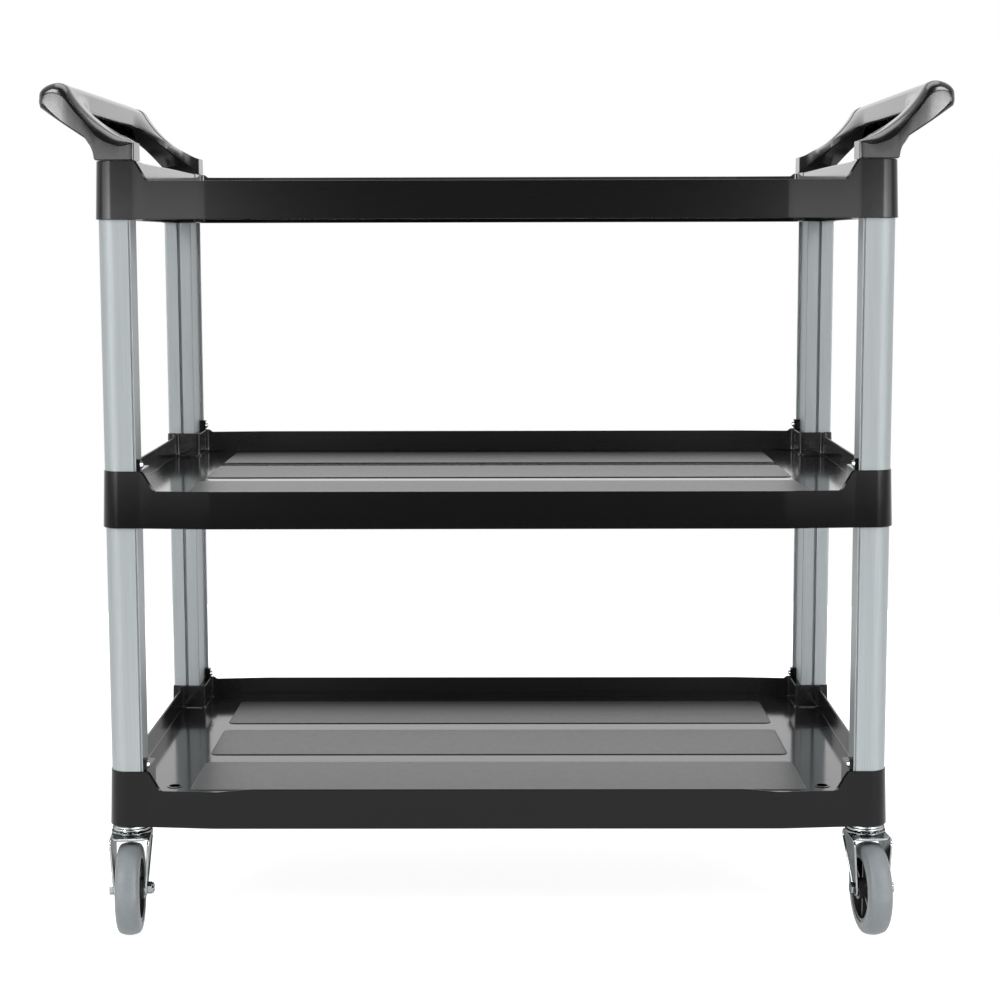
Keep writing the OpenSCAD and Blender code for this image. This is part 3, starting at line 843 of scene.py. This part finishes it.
JOINTS = {joint["name"]: joint for joint in frame["joints"]}
LEG_IN = 16.5
LEG_OUT = 19
SPLAY = 0.065
CROWN_T = 3
RACE_R = 16.5
KING_R = 5.1
RAIL_R = 2.75


def arc_points(x, y, r, degrees):
    """Points round a centre at the given angles."""
    return [(x + r * math.cos(math.radians(a)), y + r * math.sin(math.radians(a))) for a in degrees]


def pressing(name, bm):
    """A zinc-plated pressed piece that stands for one CAD node."""
    materials = [MATERIALS["zinc_steel"]]
    return new_piece(name + "_pressing", bm, BODIES[name], [name], materials)


def fork(corner):
    """Pressed fork: a crown with an upturned rim, and legs with a raised edge."""
    pivot = Vector(JOINTS["swivel_" + corner]["pos_m"]) / MM
    axle = Vector(JOINTS["roll_" + corner]["pos_m"]) / MM
    name = "fork_" + corner
    reach = Vector((axle.x - pivot.x, axle.y - pivot.y))
    trail = reach.length
    crown = high(name, 2) - CROWN_T
    outline = hull([(round(x, 3), round(y, 3)) for x, y in
                    circle(trail, axle.z, 9) + circle(trail - 14, crown - 30, 13)
                    + circle(-9.5, crown - 6, 7.5) + circle(trail + 1.5, crown - 6, 7.5)])
    bm = bmesh.new()
    groove = arc_points(RACE_R, crown + 4.3, 2.6, (-30, -60, -90, -120, -150))
    lathe(bm, [(KING_R, crown), (20, crown), (21.9, crown + 0.5), (22.8, crown + 1.6), (23, crown + 3),
               (22.9, crown + 4.1), (22.4, crown + 4.6), (21.8, crown + 4.5), (21.3, crown + 4),
               (20.4, crown + 3)] + groove + [(12.6, crown + 3), (KING_R, crown + 3)])
    apron = rounded_rect(2 * LEG_OUT + 5, trail + 2, 11, 9)
    plate = bmesh.new()
    edges = ((0.8, crown - 0.05), (0, crown + 0.7), (0, crown + 2.2), (0.8, crown + 2.9))
    loft(plate, [[(x, y + (trail + 2) / 2 + 7, z) for x, y in shrunk(apron, d)] for d, z in edges])
    bm = boolean(bm, plate, "UNION")
    legs = bmesh.new()
    for s in (-1, 1):
        steps = [(0.4, LEG_IN), (0, LEG_IN + 0.4), (0, LEG_OUT - 1.1), (0.35, LEG_OUT - 0.35),
                 (1.1, LEG_OUT), (3.0, LEG_OUT), (3.6, LEG_OUT - 0.9)]
        loft(legs, [[(s * (a + SPLAY * (z - axle.z)), y, z) for y, z in shrunk(outline, d)]
                    for d, a in steps])
    bm = boolean(bm, legs, "UNION")
    along = reach.normalized()
    turn = Matrix(((along.y, along.x, 0, pivot.x), (-along.x, along.y, 0, pivot.y),
                   (0, 0, 1, 0), (0, 0, 0, 1)))
    bmesh.ops.transform(bm, matrix=turn, verts=bm.verts)
    return pressing(name, bm)


def race(corner):
    """Pressed upper race: a disc with a rolled rim, grooved underneath for the balls."""
    pivot = Vector(JOINTS["swivel_" + corner]["pos_m"]) / MM
    name = "top_race_" + corner
    foot, top = low(name, 2), high(name, 2)
    groove = arc_points(RACE_R, foot - 0.9, RAIL_R, (161, 135, 112, 90, 68, 45, 19))
    bm = bmesh.new()
    lathe(bm, [(KING_R, foot)] + groove
          + [(20.6, foot), (21.6, foot + 0.35), (22, foot + 1.2), (22, foot + 2.8), (21.6, foot + 3.5),
             (20.9, foot + 4.1), (20.7, top - 3.6), (21.2, top - 3), (21.8, top - 2.3), (22, top - 1.4),
             (21.6, top - 0.5), (20.8, top), (KING_R, top)])
    bmesh.ops.translate(bm, vec=(pivot.x, pivot.y, 0), verts=bm.verts)
    return pressing(name, bm)


# ---- Materials ----

def node_material(name):
    """A new material with its node tree and shader."""
    material = bpy.data.materials.new(name)
    material.use_nodes = True
    tree = material.node_tree
    return material, tree, tree.nodes["Principled BSDF"]


def noise(tree, scale, stretch=(1, 1, 1), detail=4.0):
    """Noise in the piece's own space; scale is in features per metre."""
    place = tree.nodes.new("ShaderNodeTexCoord")
    mapping = tree.nodes.new("ShaderNodeMapping")
    mapping.inputs["Scale"].default_value = stretch
    texture = tree.nodes.new("ShaderNodeTexNoise")
    texture.inputs["Scale"].default_value = scale
    texture.inputs["Detail"].default_value = detail
    tree.links.new(place.outputs["Object"], mapping.inputs["Vector"])
    tree.links.new(mapping.outputs["Vector"], texture.inputs["Vector"])
    return texture.outputs["Fac"]


def spread(tree, value, target, low_value, high_value, from_low=0.3, from_high=0.7):
    """Feeds a 0 to 1 value to a number socket as low_value to high_value."""
    ramp = tree.nodes.new("ShaderNodeMapRange")
    ramp.inputs["From Min"].default_value = from_low
    ramp.inputs["From Max"].default_value = from_high
    ramp.inputs["To Min"].default_value = low_value
    ramp.inputs["To Max"].default_value = high_value
    tree.links.new(value, ramp.inputs["Value"])
    tree.links.new(ramp.outputs["Result"], target)


def tint(tree, value, target, dark, light, from_low=0.3, from_high=0.7):
    """Feeds a 0 to 1 value to a colour socket as a blend of two colours."""
    ramp = tree.nodes.new("ShaderNodeValToRGB")
    ramp.color_ramp.elements[0].position = from_low
    ramp.color_ramp.elements[1].position = from_high
    ramp.color_ramp.elements[0].color = (*dark, 1)
    ramp.color_ramp.elements[1].color = (*light, 1)
    tree.links.new(value, ramp.inputs["Fac"])
    tree.links.new(ramp.outputs["Color"], target)


def bump(tree, value, shader, strength, distance):
    """Feeds a 0 to 1 value to the shader's normal as a height."""
    node = tree.nodes.new("ShaderNodeBump")
    node.inputs["Strength"].default_value = strength
    node.inputs["Distance"].default_value = distance
    tree.links.new(value, node.inputs["Height"])
    tree.links.new(node.outputs["Normal"], shader.inputs["Normal"])


def plastic(name, dark, light, rough, grain_scale, grain_depth, ior=1.5):
    """Moulded plastic with a fine grain and faint handling marks."""
    material, tree, shader = node_material(name)
    tint(tree, noise(tree, 400), shader.inputs["Base Color"], dark, light)
    spread(tree, noise(tree, 160, detail=2.0), shader.inputs["Roughness"], *rough)
    bump(tree, noise(tree, grain_scale, detail=2.0), shader, 0.4, grain_depth)
    shader.inputs["IOR"].default_value = ior
    return material


def metal(name, dark, light, rough, stretch, scale, metallic=1.0, depth=0.00002, edge=1.0):
    """Metal with drawn lines or a cloudy plated finish."""
    material, tree, shader = node_material(name)
    lines = noise(tree, scale, stretch)
    tint(tree, lines, shader.inputs["Base Color"], dark, light)
    spread(tree, noise(tree, scale * 0.6, stretch), shader.inputs["Roughness"], *rough)
    bump(tree, lines, shader, 0.25, depth)
    shader.inputs["Metallic"].default_value = metallic
    shader.inputs["Specular Tint"].default_value = (edge, edge, edge, 1)
    return material


# Each entry: a dark and a light colour, the range of roughness, then the grain or the pattern.
MATERIALS = {
    "shelf_plastic": plastic(
        "shelf_plastic", (0.0028, 0.0028, 0.003), (0.0042, 0.0042, 0.0045),
        (0.13, 0.15), 2500, 0.00001, 1.27),
    "tray_gloss": plastic(
        "tray_gloss", (0.010, 0.010, 0.011), (0.014, 0.014, 0.015),
        (0.10, 0.12), 700, 0.00001),
    "tray_grain": plastic(
        "tray_grain", (0.012, 0.012, 0.013), (0.02, 0.02, 0.021),
        (0.33, 0.36), 1600, 0.00008),
    "handle_plastic": plastic(
        "handle_plastic", (0.0035, 0.0035, 0.0038), (0.005, 0.005, 0.0054),
        (0.16, 0.19), 2500, 0.00001),
    # Dark plastic for the posts' inner side walls: painted shade where the metal side stands in shadow.
    "post_side_painted_shade": plastic(
        "post_side_painted_shade", (0.02, 0.02, 0.021), (0.03, 0.03, 0.031),
        (0.4, 0.5), 900, 0.00005),
    "post_aluminium": metal(
        "post_aluminium", (0.218, 0.238, 0.244), (0.246, 0.267, 0.274),
        (0.48, 0.54), (1, 1, 0.01), 900, 0.5),
    "zinc_steel": metal(
        "zinc_steel", (0.26, 0.28, 0.285), (0.40, 0.42, 0.425),
        (0.14, 0.22), (1, 1, 1), 140, edge=0.3),
    "screw_steel": metal(
        "screw_steel", (0.55, 0.56, 0.58), (0.7, 0.71, 0.72),
        (0.15, 0.3), (1, 1, 1), 600),
    "bearing_steel": metal(
        "bearing_steel", (0.6, 0.61, 0.62), (0.7, 0.71, 0.72),
        (0.06, 0.1), (1, 1, 1), 300),
    "bush_steel": metal(
        "bush_steel", (0.5, 0.49, 0.46), (0.6, 0.59, 0.56),
        (0.2, 0.3), (1, 1, 1), 300),
    "socket_nylon": plastic(
        "socket_nylon", (0.02, 0.02, 0.021), (0.035, 0.035, 0.036),
        (0.4, 0.5), 900, 0.00008),
    "hub_plastic": plastic(
        "hub_plastic", (0.008, 0.008, 0.009), (0.014, 0.014, 0.015),
        (0.25, 0.4), 1500, 0.00005),
    "grey_tyre": plastic(
        "grey_tyre", (0.102, 0.114, 0.12), (0.118, 0.131, 0.138),
        (0.42, 0.50), 1200, 0.00006),
}

SLOTS = {part["node"]: part["material_slot"] for part in frame["record"]["subparts"]}
for node, slot in SLOTS.items():
    mesh = frame["nodes"][node].data
    mesh.materials.clear()
    mesh.materials.append(MATERIALS[slot])

shelf_materials = [MATERIALS[n] for n in ("shelf_plastic", "tray_gloss", "tray_grain")]
shelf("top", False, True, 0, shelf_materials)
shelf("middle", True, True, 0, shelf_materials)
shelf("bottom", True, False, 3.5, shelf_materials)
for side in SIDES:
    handle(side)
for corner in CORNERS:
    for tier in ("upper", "lower"):
        name = f"{tier}_post_{corner}"
        post(tier, corner, low(name, 2), high(name, 2))
    fork(corner)
    race(corner)
    for part, width in (("axle_bolt", 0.5), ("axle_nut", 0.4),
                        ("wheel_hub", 0.5), ("tyre", 0.3), ("stem", 0.3), ("caster_socket", 0.4)):
        soften(f"{part}_{corner}", width)


# ---- Camera, floor and light ----

FLOOR_R = 1.9
FLOOR_GLOW = 0.88

# Each light profile runs over one part of a direction, from -1 at 0 to 1 at 1.
BACK_Y = [(0, 0.02), (0.2, 0.02), (0.45, 1.0), (0.6, 1.3), (1, 1.3)]
SOFT_X = [(0.55, 0.2), (0.572, 1), (0.59, 5), (0.70, 5), (0.745, 16), (0.8, 18), (0.86, 13), (0.93, 8),
          (1, 5)]
SOFT_Y = [(0, 1), (0.3, 1), (0.45, 0), (1, 0)]
SOFT_Z = [(0, 0), (0.474, 0), (0.487, 1.08), (0.54, 1.08), (0.562, 0), (1, 0)]


def make_camera():
    """Stands 2.4 m in front of the trolley and looks slightly down."""
    place = Vector((16.1, -2411.7, 786.4)) * MM
    pitch, yaw, roll = (math.radians(a) for a in (6.429, 0.339, -0.137))
    right = Vector((math.cos(yaw), math.sin(yaw), 0))
    level = math.cos(pitch)
    forward = Vector((-math.sin(yaw) * level, math.cos(yaw) * level, -math.sin(pitch)))
    up = right.cross(forward)
    rolled_right = right * math.cos(roll) + up * math.sin(roll)
    rolled_up = up * math.cos(roll) - right * math.sin(roll)
    turn = Matrix((rolled_right, rolled_up, -forward)).transposed()
    data = bpy.data.cameras.new("camera")
    data.lens = 70.73
    data.sensor_width = 36
    data.shift_y = -0.04
    data.clip_end = 50
    camera = bpy.data.objects.new("camera", data)
    camera.matrix_world = Matrix.Translation(place) @ turn.to_4x4()
    bpy.context.scene.collection.objects.link(camera)
    bpy.context.scene.camera = camera


def make_floor():
    """A pale disc that glows a little, so that it meets the white behind without an edge."""
    bm = bmesh.new()
    bmesh.ops.create_circle(bm, cap_ends=True, radius=FLOOR_R, segments=96)
    mesh = bpy.data.meshes.new("floor")
    bm.to_mesh(mesh)
    bm.free()
    floor = bpy.data.objects.new("floor", mesh)
    bpy.context.scene.collection.objects.link(floor)
    material, tree, shader = node_material("pale_floor")
    tint(tree, noise(tree, 3), shader.inputs["Base Color"], (0.30, 0.30, 0.30), (0.33, 0.33, 0.33))
    shader.inputs["Roughness"].default_value = 0.6
    shader.inputs["Emission Color"].default_value = (1, 1, 1, 1)
    shader.inputs["Emission Strength"].default_value = FLOOR_GLOW
    mesh.materials.append(material)


def area_light(name, place, target, width, height, power):
    """A rectangular lamp that points at a target."""
    data = bpy.data.lights.new(name, "AREA")
    data.shape = "RECTANGLE"
    data.size, data.size_y = width, height
    data.energy = power
    light = bpy.data.objects.new(name, data)
    light.location = place
    light.rotation_euler = (Vector(target) - Vector(place)).to_track_quat("-Z", "Y").to_euler()
    bpy.context.scene.collection.objects.link(light)


def ramp(tree, value, stops):
    """A grey ramp over a 0 to 1 value, with brightness that may be over 1."""
    curve = tree.nodes.new("ShaderNodeFloatCurve")
    points = curve.mapping.curves[0].points
    top = max(y for _, y in stops)
    while len(points) < len(stops):
        points.new(0.5, 0.5)
    for point, (x, y) in zip(points, stops):
        point.location = (x, y / top)
        point.handle_type = "VECTOR"
    curve.mapping.update()
    tree.links.new(value, curve.inputs["Value"])
    return times(tree, curve.outputs["Value"], top)


def times(tree, a, b):
    """The product of a value and another value or a number."""
    node = tree.nodes.new("ShaderNodeMath")
    node.operation = "MULTIPLY"
    tree.links.new(a, node.inputs[0])
    if isinstance(b, (int, float)):
        node.inputs[1].default_value = b
    else:
        tree.links.new(b, node.inputs[1])
    return node.outputs["Value"]


def unit(tree, value):
    """A direction's part, -1 to 1, as 0 to 1."""
    node = tree.nodes.new("ShaderNodeMath")
    node.operation = "MULTIPLY_ADD"
    node.inputs[1].default_value = 0.5
    node.inputs[2].default_value = 0.5
    tree.links.new(value, node.inputs[0])
    return node.outputs["Value"]


def make_world():
    """White behind and above, a dark room in front with a soft light on each side of it."""
    world = bpy.data.worlds.new("studio")
    bpy.context.scene.world = world
    world.use_nodes = True
    tree = world.node_tree
    background = tree.nodes["Background"]
    place = tree.nodes.new("ShaderNodeTexCoord")
    split = tree.nodes.new("ShaderNodeSeparateXYZ")
    tree.links.new(place.outputs["Generated"], split.inputs["Vector"])
    back = ramp(tree, unit(tree, split.outputs["Y"]), BACK_Y)
    left = [(1 - x, y) for x, y in reversed(SOFT_X)]
    across = ramp(tree, unit(tree, split.outputs["X"]), left + SOFT_X)
    height = ramp(tree, unit(tree, split.outputs["Z"]), SOFT_Z)
    facing = ramp(tree, unit(tree, split.outputs["Y"]), SOFT_Y)
    lights = times(tree, times(tree, across, height), facing)
    both = tree.nodes.new("ShaderNodeMath")
    both.operation = "ADD"
    tree.links.new(back, both.inputs[0])
    tree.links.new(lights, both.inputs[1])
    path = tree.nodes.new("ShaderNodeLightPath")
    seen = tree.nodes.new("ShaderNodeMix")
    seen.data_type = "RGBA"
    tree.links.new(path.outputs["Is Camera Ray"], seen.inputs["Factor"])
    tree.links.new(both.outputs["Value"], seen.inputs["A"])
    seen.inputs["B"].default_value = (1, 1, 1, 1)
    tree.links.new(seen.outputs["Result"], background.inputs["Color"])


make_camera()
make_floor()
make_world()
area_light("key_left", (-2.2, -2.4, 2.6), (0, 0, 0.5), 1.2, 1.6, 90)
area_light("key_right", (2.2, -2.4, 2.6), (0, 0, 0.5), 1.2, 1.6, 90)
area_light("top", (0, 0.2, 3.2), (0, 0, 0), 2.5, 2.0, 60)
bpy.context.scene.view_settings.view_transform = "Standard"
